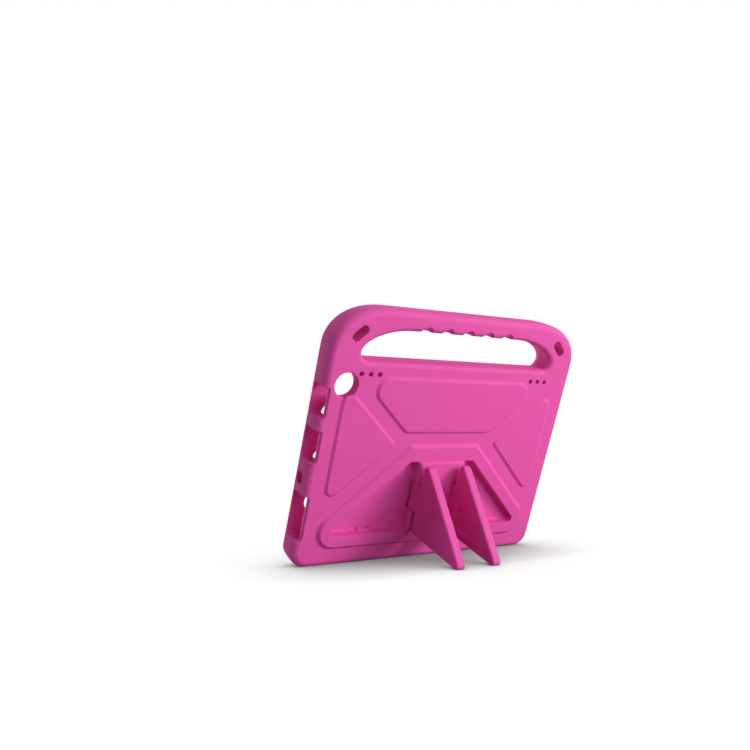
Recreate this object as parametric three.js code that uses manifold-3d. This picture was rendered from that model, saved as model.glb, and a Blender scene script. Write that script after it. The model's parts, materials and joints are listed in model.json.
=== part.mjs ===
// Foam carry case for an 8-inch handheld device, leaning back on two folding legs.
//
// The case frame, in millimetres: x to the wall with the side cut-outs, y out of the back face,
// which is y = 0, and z up along the case from its lower edge. The front is at y = -thickness.
// At the end the whole case is leaned back onto its feet, with the origin under its middle.

import * as THREE from 'three';
import { mergeVertices } from 'three/addons/utils/BufferGeometryUtils.js';
import Module from 'manifold-3d';

const wasm = await Module();
wasm.setup();

// Bay for the device
const bayWidth = 202.6;
const bayHeight = 137.6;
const bayDepth = 10;
const bayCorner = 7;

// Walls around the bay
const sideWall = 8.7;
const bottomWall = 7.9;
const backWall = 7.2;
const lipThickness = 4.2;
const lipSideOverlap = 4.15;
const lipEndOverlap = 5.1;

// Outline and edges of the moulding
const lowCornerRadius = 11.7;
const shoulderWidth = 43.5;
const shoulderHeight = 31.4;
const shoulderPower = 2.25;
const backFillet = 5;
const creaseDepth = 10.3;
const sideDraft = 0.4;
const frontFilletWidth = 7.6;
const frontFilletDepth = 5.4;

// Carry handle and its opening
const handleBand = 7.3;
const handleOpeningHeight = 22;
const handleBarHeight = 14.2;
const handleOpeningHalfWidth = 85.8;
const handleFlatHalfWidth = 49;
const handleEndRadius = 5.5;
const handleArchPower = 1.8;
const handleRimFillet = 4;
const handleFrontRimWidth = 5;
const handleFrontRimDepth = 9;

// Finger grooves under the handle bar
const grooveCount = 5;
const groovePitch = 18.4;
const grooveWidth = 10.5;
const grooveRise = 4.5;
const grooveDepth = 0.8;

// Screen opening in the front lip
const screenCorner = 2.7;
const screenBevelWidth = 4.1;
const screenBevelDepth = 1.8;
const notchBase = 27.1;
const notchTop = 20.1;
const notchHeight = 1.6;
const lipScallopWidth = 9.5;
const lipScallopDepth = 1.9;
const lipScallopPitch = 33.2;

// Slots for a lanyard, one in each shoulder
const lanyardX = 90.5;
const lanyardDrop = 18.1;
const lanyardLength = 12.4;
const lanyardWidth = 5.1;
const lanyardAngle = Math.PI / 4;
const lanyardChamfer = 1;

// Holes in the back wall
const lensX = 93.5;
const lensDrop = 10.3;
const lensRadius = 8.85;
const lensChamfer = 0.6;
const speakerFirstX = 69.2;
const speakerPitch = 7.25;
const speakerDrop = 1.9;
const speakerRadius = 1.75;

// Cut-outs in the side wall, as heights above the lower edge
const upperCutoutBottom = 111.5;
const upperCutoutHeight = 21.6;
const middleCutoutBottom = 79.3;
const middleCutoutHeight = 23.3;
const lowerCutoutBottom = 21.3;
const lowerCutoutHeight = 33.6;
const cutoutBackDepth = 3.8;
const cutoutSpan = 11.8;
const cutoutCorner = 2.4;
const cutoutEdgeMargin = 5;
const jackHeight = 65.2;
const jackDepth = 11.2;
const jackRadius = 4.4;

// Folding legs and their hinges
const legThickness = 6.6;
const legReach = 70.9;
const legSlopeAngle = (42.4 * Math.PI) / 180;
const legFootCorner = 2.9;
const legTopCorner = 3;
const legRootReach = 7.8;
const legRootLean = 1.3;
const legRootCorner = 1.5;
const legEdgeRound = 1.3;
const legBadgeDepth = 0.8;
const legBadgeRootMargin = 5.2;
const legBadgeBaseMargin = 6.3;
const legBadgeSlopeMargin = 7.8;
const legBadgeCorner = 2.3;
const hingeX = 16.05;
const hingeDepth = 1;
const pinRadius = 1;
const pinClearance = 0.3;
const pinSeat = 9;
const knuckleBottom = 41.9;
const knuckleTop = 63.1;
const knuckleGap = 0.4;
const footFlat = 0.25;

// Hub that carries the hinges, and the recess that each leg folds into
const hubHalfWidth = 20.6;
const hubRise = 4.1;
const hubBevel = 1.3;
const hubCorner = 2.4;
const recessBottom = 24.7;
const recessHeight = 55.2;
const legBaseClearance = 1.4;
const legSlopeClearance = 0.6;
const recessGap = 0.35;
const recessCorner = 3.4;
const detentX = 54.5;
const detentLength = 9.6;
const detentRadius = 0.9;
const detentHeight = 1.5;

// Raised fields on the back
const frameBand = 10.9;
const frameCrown = 13;
const frameRise = 2.2;
const frameSlope = 3.2;
const channelWidth = 9.4;
const crownGap = 8.1;
const fieldRise = 1.4;
const fieldSlope = 2.4;
const frameCorner = 3;
const fieldSlopeAngle = (41 * Math.PI) / 180;
const topFieldFoot = 38.7;
const topFieldMargin = 10.1;
const topFieldFootCorner = 8;
const topFieldCorner = 10.2;
const sideFieldMargin = 14.6;
const sideFieldCorner = 6.2;
const sideFieldInnerCorner = 3.2;

// Sizes that follow from those above
const width = bayWidth + 2 * sideWall;
const half = width / 2;
const thickness = backWall + bayDepth + lipThickness;
const bayTop = bottomWall + bayHeight;
const openingBottom = bayTop + handleBand;
const openingTop = openingBottom + handleOpeningHeight;
const height = openingTop + handleBarHeight;
const recessFloor = hingeDepth + legThickness / 2 + recessGap;
const recessTop = recessBottom + recessHeight;
const legBottom = recessBottom + legBaseClearance;

// A ring is a closed list of points (u, v), counter-clockwise. Rings of one outline at
// different insets have the same number of points, so that a loft can join them.

// Rounded polygon. Each corner is [u, v, radius]; the arc gets the given number of steps.
function polygonRing(corners, inset, steps = 5) {
  const count = corners.length;
  const edges = corners.map(([u, v], i) => {
    const [nextU, nextV] = corners[(i + 1) % count];
    const length = Math.hypot(nextU - u, nextV - v);
    return { du: (nextU - u) / length, dv: (nextV - v) / length };
  });
  const points = [];
  corners.forEach(([u, v, radius], i) => {
    const before = edges[(i + count - 1) % count];
    const after = edges[i];
    const cross = before.du * after.dv - before.dv * after.du;
    const dot = before.du * after.du + before.dv * after.dv;
    const turn = Math.atan2(cross, dot);
    const side = Math.sign(turn);
    const arc = Math.max(radius - side * inset, 0.05);
    const tangent = Math.tan(Math.abs(turn) / 2);
    const shift = inset / (1 + dot);
    const cornerU = u - (before.dv + after.dv) * shift;
    const cornerV = v + (before.du + after.du) * shift;
    const startU = cornerU - before.du * arc * tangent;
    const startV = cornerV - before.dv * arc * tangent;
    const centreU = startU - before.dv * arc * side;
    const centreV = startV + before.du * arc * side;
    for (let k = 0; k <= steps; k += 1) {
      const angle = (turn * k) / steps;
      const radialU = before.dv * arc * side;
      const radialV = -before.du * arc * side;
      points.push(new THREE.Vector2(
        centreU + radialU * Math.cos(angle) - radialV * Math.sin(angle),
        centreV + radialU * Math.sin(angle) + radialV * Math.cos(angle),
      ));
    }
  });
  return points;
}

// Outline that is the same left and right, with superellipse corners {a, b, power, steps}.
function archRing(halfWidth, bottom, top, low, high, inset) {
  const quarter = (corner) => {
    const arc = [];
    for (let k = 0; k <= corner.steps; k += 1) {
      const angle = (Math.PI / 2) * (k / corner.steps);
      const c = Math.max(Math.cos(angle), 0);
      const s = Math.max(Math.sin(angle), 0);
      const reach = new THREE.Vector2(
        corner.a * c ** (2 / corner.power),
        corner.b * s ** (2 / corner.power),
      );
      const normal = new THREE.Vector2(
        c ** (2 - 2 / corner.power) / corner.a,
        s ** (2 - 2 / corner.power) / corner.b,
      ).normalize();
      arc.push(reach.addScaledVector(normal, -inset));
    }
    return arc;
  };
  const lowArc = quarter(low).reverse();
  const highArc = quarter(high);
  const right = [
    ...lowArc.map((p) => new THREE.Vector2(halfWidth - low.a + p.x, bottom + low.b - p.y)),
    ...highArc.map((p) => new THREE.Vector2(halfWidth - high.a + p.x, top - high.b + p.y)),
  ];
  const left = right.map((p) => new THREE.Vector2(-p.x, p.y)).reverse();
  return [...right, ...left];
}

// Closed solid from a ring function and a profile of [inset, height] pairs.
// The place function turns (u, v, height) into a point.
function loft(ringAt, profile, place) {
  const rings = profile.map(([inset]) => ringAt(inset));
  const count = rings[0].length;
  const positions = [];
  rings.forEach((ring, level) => {
    ring.forEach((p) => positions.push(...place(p.x, p.y, profile[level][1])));
  });
  const index = [];
  for (let level = 0; level + 1 < rings.length; level += 1) {
    for (let i = 0; i < count; i += 1) {
      const a = level * count + i;
      const b = level * count + ((i + 1) % count);
      index.push(a, b, b + count, a, b + count, a + count);
    }
  }
  // Every outline here is convex, so each end is a fan about its middle.
  const last = (rings.length - 1) * count;
  [[rings[0], 0], [rings[rings.length - 1], last]].forEach(([ring, first], end) => {
    const middle = ring.reduce((sum, p) => sum.add(p), new THREE.Vector2()).divideScalar(count);
    const hub = positions.length / 3;
    positions.push(...place(middle.x, middle.y, profile[end ? profile.length - 1 : 0][1]));
    for (let i = 0; i < count; i += 1) {
      const a = first + i;
      const b = first + ((i + 1) % count);
      index.push(...(end ? [a, b, hub] : [b, a, hub]));
    }
  });
  return solid(positions, index);
}

// Manifold solid from positions and indices, turned inside out where its volume is negative.
function solid(positions, index) {
  const at = (i) => new THREE.Vector3().fromArray(positions, 3 * i);
  let volume = 0;
  for (let i = 0; i < index.length; i += 3) {
    volume += at(index[i]).dot(at(index[i + 1]).cross(at(index[i + 2])));
  }
  const order = volume < 0 ? index.slice().reverse() : index;
  return new wasm.Manifold(new wasm.Mesh({
    numProp: 3,
    vertProperties: new Float32Array(positions),
    triVerts: new Uint32Array(order),
  }));
}

// Manifold solid from a closed three.js geometry.
function fromGeometry(geometry) {
  geometry.deleteAttribute('normal');
  geometry.deleteAttribute('uv');
  const merged = mergeVertices(geometry, 1e-4);
  return solid(Array.from(merged.attributes.position.array), Array.from(merged.index.array));
}

function toGeometry(manifold) {
  const mesh = manifold.getMesh();
  const geometry = new THREE.BufferGeometry();
  const positions = new Float32Array(mesh.numVert * 3);
  for (let i = 0; i < mesh.numVert; i += 1) {
    for (let k = 0; k < 3; k += 1) {
      positions[3 * i + k] = mesh.vertProperties[mesh.numProp * i + k];
    }
  }
  geometry.setAttribute('position', new THREE.BufferAttribute(positions, 3));
  geometry.setIndex(Array.from(mesh.triVerts));
  geometry.computeVertexNormals();
  return geometry;
}

const onBack = (u, v, y) => [u, y, v];
const onSide = (u, v, x) => [x, u, v];

// Quarter round between two directions, as [inset, height] pairs from the face to the wall.
function quarterRound(wide, deep, faceHeight, direction, steps, base = 0) {
  const pairs = [];
  for (let k = 0; k <= steps; k += 1) {
    const angle = (Math.PI / 2) * (k / steps);
    pairs.push([
      base + wide * (1 - Math.sin(angle)),
      faceHeight + direction * deep * (1 - Math.cos(angle)),
    ]);
  }
  return pairs;
}

function cylinderZ(radius, bottom, top, x, y, segments) {
  const geometry = new THREE.CylinderGeometry(radius, radius, top - bottom, segments);
  geometry.rotateX(Math.PI / 2);
  geometry.translate(x, y, (bottom + top) / 2);
  return fromGeometry(geometry);
}

function box(x0, x1, y0, y1, z0, z1) {
  const geometry = new THREE.BoxGeometry(x1 - x0, y1 - y0, z1 - z0);
  geometry.translate((x0 + x1) / 2, (y0 + y1) / 2, (z0 + z1) / 2);
  return fromGeometry(geometry);
}

function circleRing(u, v, radius, inset, steps) {
  const points = [];
  for (let k = 0; k < steps; k += 1) {
    const angle = (2 * Math.PI * k) / steps;
    points.push(new THREE.Vector2(
      u + (radius - inset) * Math.cos(angle),
      v + (radius - inset) * Math.sin(angle),
    ));
  }
  return points;
}

// Slanted lines: all points where normal . p = offset. They run parallel to the long edge of a
// folded leg, or to the flank of the top field.
const legNormal = new THREE.Vector2(Math.sin(legSlopeAngle), Math.cos(legSlopeAngle));
const fieldNormal = new THREE.Vector2(Math.sin(fieldSlopeAngle), -Math.cos(fieldSlopeAngle));
const uAtHeight = (normal, offset, v) => (offset - normal.y * v) / normal.x;
const vAtSide = (normal, offset, u) => (offset - normal.x * u) / normal.y;

function meet(normalA, offsetA, normalB, offsetB) {
  const det = normalA.x * normalB.y - normalA.y * normalB.x;
  return [
    (offsetA * normalB.y - offsetB * normalA.y) / det,
    (offsetB * normalA.x - offsetA * normalB.x) / det,
  ];
}

// Outer moulding, with its back at y = 0
const round = (radius, steps) => ({ a: radius, b: radius, power: 2, steps });
const shoulder = { a: shoulderWidth, b: shoulderHeight, power: shoulderPower, steps: 11 };

function makeBody() {
  const ringAt = (inset) => archRing(
    half, 0, height, round(lowCornerRadius, 6), shoulder, inset,
  );
  const frontStart = -(thickness - frontFilletDepth);
  return loft(ringAt, [
    ...quarterRound(backFillet, backFillet, 0, -1, 5),
    [0, -creaseDepth],
    ...quarterRound(frontFilletWidth, -frontFilletDepth, -thickness, -1, 5, sideDraft)
      .reverse()
      .map(([inset, y]) => [inset, Math.min(y, frontStart)]),
  ], onBack);
}

// Carry opening, with its rims rounded into both faces. A positive growth moves the whole
// surface into the foam by that much, which makes the finger grooves.
function makeHandleOpening(growth) {
  const end = { a: handleEndRadius, b: handleEndRadius, power: 2, steps: 5 };
  const arch = {
    a: handleOpeningHalfWidth - handleFlatHalfWidth,
    b: handleOpeningHeight - handleEndRadius,
    power: handleArchPower,
    steps: 10,
  };
  const ringAt = (inset) => archRing(
    handleOpeningHalfWidth, openingBottom, openingTop, end, arch, inset,
  );
  const faceToWall = (wide, deep) => {
    const rim = quarterRound(wide - growth, deep - growth, 0, 1, 4)
      .map(([inset, depth]) => [-inset - growth, depth + growth]);
    const flare = grooveRise + wide;
    return growth > 0 ? [[-flare, -1], [-flare, growth], ...rim] : [[-wide, -1], ...rim];
  };
  return loft(ringAt, [
    ...faceToWall(handleRimFillet, handleRimFillet).map(([inset, depth]) => [inset, -depth]),
    ...faceToWall(handleFrontRimWidth, handleFrontRimDepth)
      .map(([inset, depth]) => [inset, depth - thickness])
      .reverse(),
  ], onBack);
}

// Finger grooves: half-moons along the lower edge of the bar
function makeGrooves() {
  const chord = grooveWidth / 2;
  const radius = (chord ** 2 + grooveRise ** 2) / (2 * grooveRise);
  const moons = [];
  for (let k = 0; k < grooveCount; k += 1) {
    const u = (k - (grooveCount - 1) / 2) * groovePitch;
    const ringAt = (inset) => circleRing(u, openingTop + grooveRise - radius, radius, inset, 28);
    moons.push(loft(ringAt, [[0, 2], [0, -thickness - 2]], onBack));
  }
  return moons.reduce((sum, moon) => sum.add(moon)).intersect(makeHandleOpening(grooveDepth));
}

// Raised fields on the back
const slopeAtLeg = legNormal.x * legReach + legNormal.y * legBottom;
const slopeAtRecess = slopeAtLeg + legNormal.x * hingeX + legSlopeClearance;
const slopeAtFrame = slopeAtRecess + frameBand;
const slopeAtSideField = slopeAtFrame + channelWidth;
const frameBottom = recessBottom - frameBand;
const frameTop = recessTop + frameCrown;
const topFieldBottom = frameTop + crownGap;
const topFieldTop = openingBottom - topFieldMargin;
const flankAtTopField = fieldNormal.x * topFieldFoot + fieldNormal.y * topFieldBottom;
const flankAtSideField = flankAtTopField + channelWidth;

function raised(corners, rise, slope) {
  return loft((inset) => polygonRing(corners, inset), [[0, -1], [0, 0], [slope, rise]], onBack);
}

function makeFrame() {
  const corner = recessCorner + frameBand;
  const foot = uAtHeight(legNormal, slopeAtFrame, frameBottom);
  const crown = uAtHeight(legNormal, slopeAtFrame, frameTop);
  return raised([
    [-foot, frameBottom, corner],
    [foot, frameBottom, corner],
    [crown, frameTop, frameCorner],
    [-crown, frameTop, frameCorner],
  ], frameRise, frameSlope);
}

function makeTopField() {
  const crown = uAtHeight(fieldNormal, flankAtTopField, topFieldTop);
  return raised([
    [-topFieldFoot, topFieldBottom, topFieldFootCorner],
    [topFieldFoot, topFieldBottom, topFieldFootCorner],
    [crown, topFieldTop, topFieldCorner],
    [-crown, topFieldTop, topFieldCorner],
  ], fieldRise, fieldSlope);
}

function makeSideField(side) {
  const outer = half - sideFieldMargin;
  const [innerU, innerV] = meet(legNormal, slopeAtSideField, fieldNormal, flankAtSideField);
  const corners = [
    [innerU, innerV, sideFieldInnerCorner],
    [outer, vAtSide(legNormal, slopeAtSideField, outer), sideFieldCorner],
    [outer, vAtSide(fieldNormal, flankAtSideField, outer), sideFieldCorner],
  ];
  const placed = side > 0 ? corners : corners.map(([u, v, r]) => [-u, v, r]).reverse();
  return raised(placed, fieldRise, fieldSlope);
}

// Recess that a folded leg fills
function makeRecess(side) {
  const corners = [
    [hubHalfWidth, recessBottom, recessCorner],
    [uAtHeight(legNormal, slopeAtRecess, recessBottom), recessBottom, recessCorner],
    [uAtHeight(legNormal, slopeAtRecess, recessTop), recessTop, hubCorner],
    [hubHalfWidth, recessTop, hubCorner],
  ];
  const placed = side > 0 ? corners : corners.map(([u, v, r]) => [-u, v, r]).reverse();
  return loft((inset) => polygonRing(placed, inset), [
    [0, frameRise + 1],
    [0, -recessFloor],
  ], onBack);
}

// Ridge in the lower wall of a recess, which grips the folded leg
function makeDetent(side) {
  const geometry = new THREE.CylinderGeometry(detentRadius, detentRadius, detentLength, 16);
  geometry.rotateZ(Math.PI / 2);
  geometry.translate(side * detentX, detentHeight - recessFloor, recessBottom);
  return fromGeometry(geometry);
}

// Hub between the legs, with room for each leg's knuckle and a bore for each pin
function makeHub() {
  return loft((inset) => polygonRing([
    [-hubHalfWidth, recessBottom, hubCorner],
    [hubHalfWidth, recessBottom, hubCorner],
    [hubHalfWidth, recessTop, hubCorner],
    [-hubHalfWidth, recessTop, hubCorner],
  ], inset), [[0, -1], [0, hubRise - hubBevel], [hubBevel, hubRise]], onBack);
}

function makeKnuckleRoom(side) {
  const inner = hingeX - legThickness / 2 - recessGap;
  const outer = hubHalfWidth + recessCorner;
  const [low, high] = side > 0 ? [inner, outer] : [-outer, -inner];
  return box(low, high, -recessFloor, hubRise + 1, knuckleBottom, knuckleTop)
    .add(cylinderZ(
      pinRadius + pinClearance,
      knuckleBottom - pinSeat - pinClearance,
      knuckleTop + pinSeat + pinClearance,
      side * hingeX,
      -hingeDepth,
      16,
    ));
}

// Bay, screen opening and the notches in the lip
const screenHalfWidth = bayWidth / 2 - lipSideOverlap;
const screenBottom = bottomWall + lipEndOverlap;
const screenTop = bayTop - lipEndOverlap;
const screenProfile = [
  [0, -(backWall + bayDepth) + 1],
  [0, -thickness + screenBevelDepth],
  [-screenBevelWidth, -thickness],
  [-screenBevelWidth, -thickness - 1],
];

function makeBay() {
  const corner = round(bayCorner, 5);
  const ringAt = (inset) => archRing(bayWidth / 2, bottomWall, bayTop, corner, corner, inset);
  return loft(ringAt, [[0, -backWall], [0, -(backWall + bayDepth)]], onBack);
}

function makeScreenOpening() {
  const corner = round(screenCorner, 4);
  const opening = loft(
    (inset) => archRing(screenHalfWidth, screenBottom, screenTop, corner, corner, inset),
    screenProfile,
    onBack,
  );
  const notch = loft((inset) => polygonRing([
    [-notchBase / 2, screenTop - bayCorner, 0.1],
    [notchBase / 2, screenTop - bayCorner, 0.1],
    [notchBase / 2, screenTop, 0.1],
    [notchTop / 2, screenTop + notchHeight, 0.5],
    [-notchTop / 2, screenTop + notchHeight, 0.5],
    [-notchBase / 2, screenTop, 0.1],
  ], inset, 2), screenProfile, onBack);
  return opening.add(notch);
}

function makeLipScallops() {
  const chord = lipScallopWidth / 2;
  const radius = (chord ** 2 + lipScallopDepth ** 2) / (2 * lipScallopDepth);
  const centre = screenHalfWidth + lipScallopDepth - radius;
  const middle = (screenBottom + screenTop) / 2;
  return [-1, 0, 1].map((k) => loft(
    (inset) => circleRing(centre, middle + k * lipScallopPitch, radius, inset, 32),
    [[0, -(backWall + bayDepth) + 1], [0, -thickness - 1]],
    onBack,
  )).reduce((sum, scallop) => sum.add(scallop));
}

// Holes through the walls
function makeLensHole() {
  const ringAt = (inset) => circleRing(lensX, bayTop - lensDrop, lensRadius, inset, 36);
  return loft(ringAt, [
    [-lensChamfer, fieldRise + 1],
    [-lensChamfer, fieldRise],
    [0, fieldRise - lensChamfer],
    [0, -backWall - 1],
  ], onBack);
}

function makeSpeakerHoles() {
  const holes = [];
  for (const side of [-1, 1]) {
    for (let k = 0; k < 3; k += 1) {
      const u = side * (speakerFirstX + k * speakerPitch);
      const ringAt = (inset) => circleRing(u, bayTop - speakerDrop, speakerRadius, inset, 16);
      holes.push(loft(ringAt, [[0, 1], [0, -backWall - 1]], onBack));
    }
  }
  return holes.reduce((sum, hole) => sum.add(hole));
}

function makeLanyardSlot(side) {
  const along = new THREE.Vector2(-side * Math.sin(lanyardAngle), Math.cos(lanyardAngle));
  const across = new THREE.Vector2(along.y, -along.x);
  const centre = new THREE.Vector2(side * lanyardX, height - lanyardDrop);
  const corner = (l, w) => {
    const p = centre.clone()
      .addScaledVector(along, (l * lanyardLength) / 2)
      .addScaledVector(across, (w * lanyardWidth) / 2);
    return [p.x, p.y, lanyardWidth / 2 - 0.01];
  };
  const corners = [corner(-1, -1), corner(-1, 1), corner(1, 1), corner(1, -1)];
  return loft((inset) => polygonRing(corners, inset, 4), [
    [-lanyardChamfer, 1],
    [-lanyardChamfer, 0],
    [0, -lanyardChamfer],
    [0, lanyardChamfer - thickness],
    [-lanyardChamfer, -thickness],
    [-lanyardChamfer, -thickness - 1],
  ], onBack);
}

function makeSideHoles() {
  const cutouts = [
    [upperCutoutBottom, upperCutoutHeight],
    [middleCutoutBottom, middleCutoutHeight],
    [lowerCutoutBottom, lowerCutoutHeight],
  ];
  const back = -cutoutBackDepth;
  const front = back - cutoutSpan;
  const span = [[0, half - sideWall - 2], [0, half + 1]];
  const holes = cutouts.map(([bottom, tall]) => loft((inset) => polygonRing([
    [front, bottom, cutoutCorner],
    [back, bottom, cutoutCorner],
    [back, bottom + tall, cutoutCorner],
    [front, bottom + tall, cutoutCorner],
  ], inset, 4), span, onSide));
  // Each cut-out also takes away the back edge of the wall beside it
  const inner = half - cutoutEdgeMargin;
  cutouts.forEach(([bottom, tall]) => holes.push(loft((inset) => polygonRing([
    [inner, bottom, cutoutCorner],
    [half + cutoutCorner, bottom, 0.1],
    [half + cutoutCorner, bottom + tall, 0.1],
    [inner, bottom + tall, cutoutCorner],
  ], inset, 4), [[0, 1], [0, back - cutoutCorner]], onBack)));
  holes.push(loft(
    (inset) => circleRing(-jackDepth, jackHeight, jackRadius, inset, 28),
    span,
    onSide,
  ));
  return holes.reduce((sum, hole) => sum.add(hole));
}

function makeShell() {
  let shell = makeBody()
    .add(makeFrame())
    .add(makeTopField())
    .add(makeSideField(1))
    .add(makeSideField(-1))
    .subtract(makeRecess(1))
    .subtract(makeRecess(-1))
    .add(makeHub())
    .add(makeDetent(1))
    .add(makeDetent(-1));
  const cuts = [
    makeKnuckleRoom(1),
    makeKnuckleRoom(-1),
    makeBay(),
    makeScreenOpening(),
    makeLipScallops(),
    makeHandleOpening(0),
    makeGrooves(),
    makeLanyardSlot(1),
    makeLanyardSlot(-1),
    makeLensHole(),
    makeSpeakerHoles(),
    makeSideHoles(),
  ];
  cuts.forEach((cut) => {
    shell = shell.subtract(cut);
  });
  return shell;
}

// A leg lies in its own frame: y away from the hinge axis, z along it, x through the thickness,
// with the badge on the face towards the other leg. The foot is cut flat where it meets the
// surface that the case leans on.
const legRootEnd = legRootReach + legRootLean;
const footCentre = {
  y: legReach - legFootCorner / Math.tan(legSlopeAngle / 2),
  z: legBottom + legFootCorner,
};
const footRadius = legFootCorner - footFlat;
const reachFromEdge = footCentre.y - hingeDepth + backFillet;
const riseFromEdge = footCentre.z - backFillet;
const lean = Math.acos((footRadius - backFillet) / Math.hypot(reachFromEdge, riseFromEdge))
  - Math.atan2(reachFromEdge, riseFromEdge);

function makeLeg(side) {
  const onLeg = (u, v, x) => [side * x, u, v];
  const halfThick = legThickness / 2;
  const outline = [
    [legRootEnd, legBottom, legRootCorner],
    [legReach, legBottom, legFootCorner],
    [legRootEnd, vAtSide(legNormal, slopeAtLeg, legRootEnd), legTopCorner],
    [legRootReach, knuckleTop, legRootCorner],
    [legRootReach, knuckleBottom, legRootCorner],
  ];
  const edge = quarterRound(legEdgeRound, legEdgeRound, 0, 1, 3);
  const plate = loft((inset) => polygonRing(outline, inset), [
    ...edge.map(([inset, depth]) => [inset, depth - halfThick]),
    ...edge.map(([inset, depth]) => [inset, halfThick - depth]).reverse(),
  ], onLeg);
  const low = knuckleBottom + knuckleGap;
  const high = knuckleTop - knuckleGap;
  const knuckle = box(-halfThick, halfThick, 0, legRootEnd, low, high)
    .add(cylinderZ(halfThick, low, high, 0, 0, 28));
  const bore = cylinderZ(pinRadius + pinClearance, low - 1, high + 1, 0, 0, 16);

  const badgeRoot = legRootEnd + legBadgeRootMargin;
  const badgeBase = legBottom + legBadgeBaseMargin;
  const badgeSlope = slopeAtLeg - legBadgeSlopeMargin;
  const badge = loft((inset) => polygonRing([
    [badgeRoot, badgeBase, legBadgeCorner],
    [uAtHeight(legNormal, badgeSlope, badgeBase), badgeBase, legBadgeCorner],
    [badgeRoot, vAtSide(legNormal, badgeSlope, badgeRoot), legBadgeCorner],
  ], inset), [
    [0, -halfThick - 1],
    [0, -halfThick],
    [legBadgeDepth / 2, legBadgeDepth - halfThick],
  ], onLeg);

  const floorBlock = new THREE.BoxGeometry(4 * legThickness, 20, 10);
  floorBlock.translate(0, 0, -5);
  floorBlock.rotateX(lean);
  floorBlock.translate(
    0,
    footCentre.y + Math.sin(lean) * footRadius,
    footCentre.z - Math.cos(lean) * footRadius,
  );
  return plate.add(knuckle)
    .subtract(bore)
    .subtract(badge)
    .subtract(fromGeometry(floorBlock));
}

function makePin() {
  return cylinderZ(pinRadius, knuckleBottom - pinSeat, knuckleTop + pinSeat, 0, 0, 16);
}

const foam = new THREE.MeshStandardMaterial({ color: 0xe4509f, roughness: 0.75, metalness: 0 });
const steel = new THREE.MeshStandardMaterial({ color: 0xb9bcc0, roughness: 0.3, metalness: 1 });

function mesh(name, manifold, material) {
  const item = new THREE.Mesh(toGeometry(manifold), material);
  item.name = name;
  return item;
}

const leaning = new THREE.Group();
leaning.rotation.x = -lean;
leaning.add(mesh('shell', makeShell(), foam));
for (const [side, label] of [[1, 'right'], [-1, 'left']]) {
  const hinge = new THREE.Group();
  hinge.position.set(side * hingeX, -hingeDepth, 0);
  hinge.add(mesh(`leg_${label}`, makeLeg(side), foam));
  hinge.add(mesh(`hinge_pin_${label}`, makePin(), steel));
  leaning.add(hinge);
}

// Origin under the middle of the case, on the surface it stands on
const model = new THREE.Group();
model.add(leaning);
model.updateMatrixWorld(true);
const bounds = new THREE.Box3().setFromObject(model, true);
const middle = bounds.getCenter(new THREE.Vector3());
leaning.position.set(-middle.x, -middle.y, -bounds.min.z);
model.updateMatrixWorld(true);

export default model;
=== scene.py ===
"""Foam carry case for an 8-inch handheld device, leaning back on two folding legs.

The moulded pieces are built in the case frame, in millimetres: x to the wall with the side
cut-outs, y out of the back face, which is y = 0, and z up along the case from its lower edge.
Placement then leans each finished mesh back into the shared frame, in metres.
"""

from __future__ import annotations

import json
import logging
import math
from dataclasses import dataclass, field
from enum import Enum
from itertools import chain
from typing import Callable, Iterable, Sequence

import bmesh
import bpy
from mathutils import Matrix, Vector


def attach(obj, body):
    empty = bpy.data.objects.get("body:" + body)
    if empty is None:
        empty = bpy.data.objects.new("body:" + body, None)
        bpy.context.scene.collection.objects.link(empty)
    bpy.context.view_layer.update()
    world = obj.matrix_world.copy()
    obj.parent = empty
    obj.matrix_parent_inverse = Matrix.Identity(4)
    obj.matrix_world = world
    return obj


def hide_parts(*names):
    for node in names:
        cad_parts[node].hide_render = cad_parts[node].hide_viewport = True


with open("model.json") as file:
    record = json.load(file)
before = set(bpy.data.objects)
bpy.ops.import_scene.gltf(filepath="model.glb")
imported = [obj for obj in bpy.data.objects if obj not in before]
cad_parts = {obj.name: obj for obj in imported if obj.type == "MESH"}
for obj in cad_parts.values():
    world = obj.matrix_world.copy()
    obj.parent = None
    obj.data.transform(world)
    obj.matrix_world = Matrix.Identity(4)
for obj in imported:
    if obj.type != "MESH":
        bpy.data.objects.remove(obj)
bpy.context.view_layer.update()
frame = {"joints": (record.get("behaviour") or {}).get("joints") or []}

log = logging.getLogger("case")

MM = 0.001
QUARTER = math.pi / 2

# How far a tool stands proud of the face that it cuts, or is sunk into what it joins.
SPILL = 1.0
# Radius of a corner that stays sharp.
SHARP = 0.1
# Straight length that is left between two round corners.
HAIR = 0.01

Pair = tuple[float, float]
Triple = tuple[float, float, float]
Place = Callable[[float, float, float], Triple]


class Side(Enum):
    """The two sides of the case. The right side has the cut-outs."""

    RIGHT = 1
    LEFT = -1

    @property
    def label(self) -> str:
        """The side's name in lower case."""
        return self.name.lower()


class Join(Enum):
    """How a tool changes the solid that it meets."""

    ADD = "UNION"
    CUT = "DIFFERENCE"
    KEEP = "INTERSECT"


# Outlines


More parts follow.
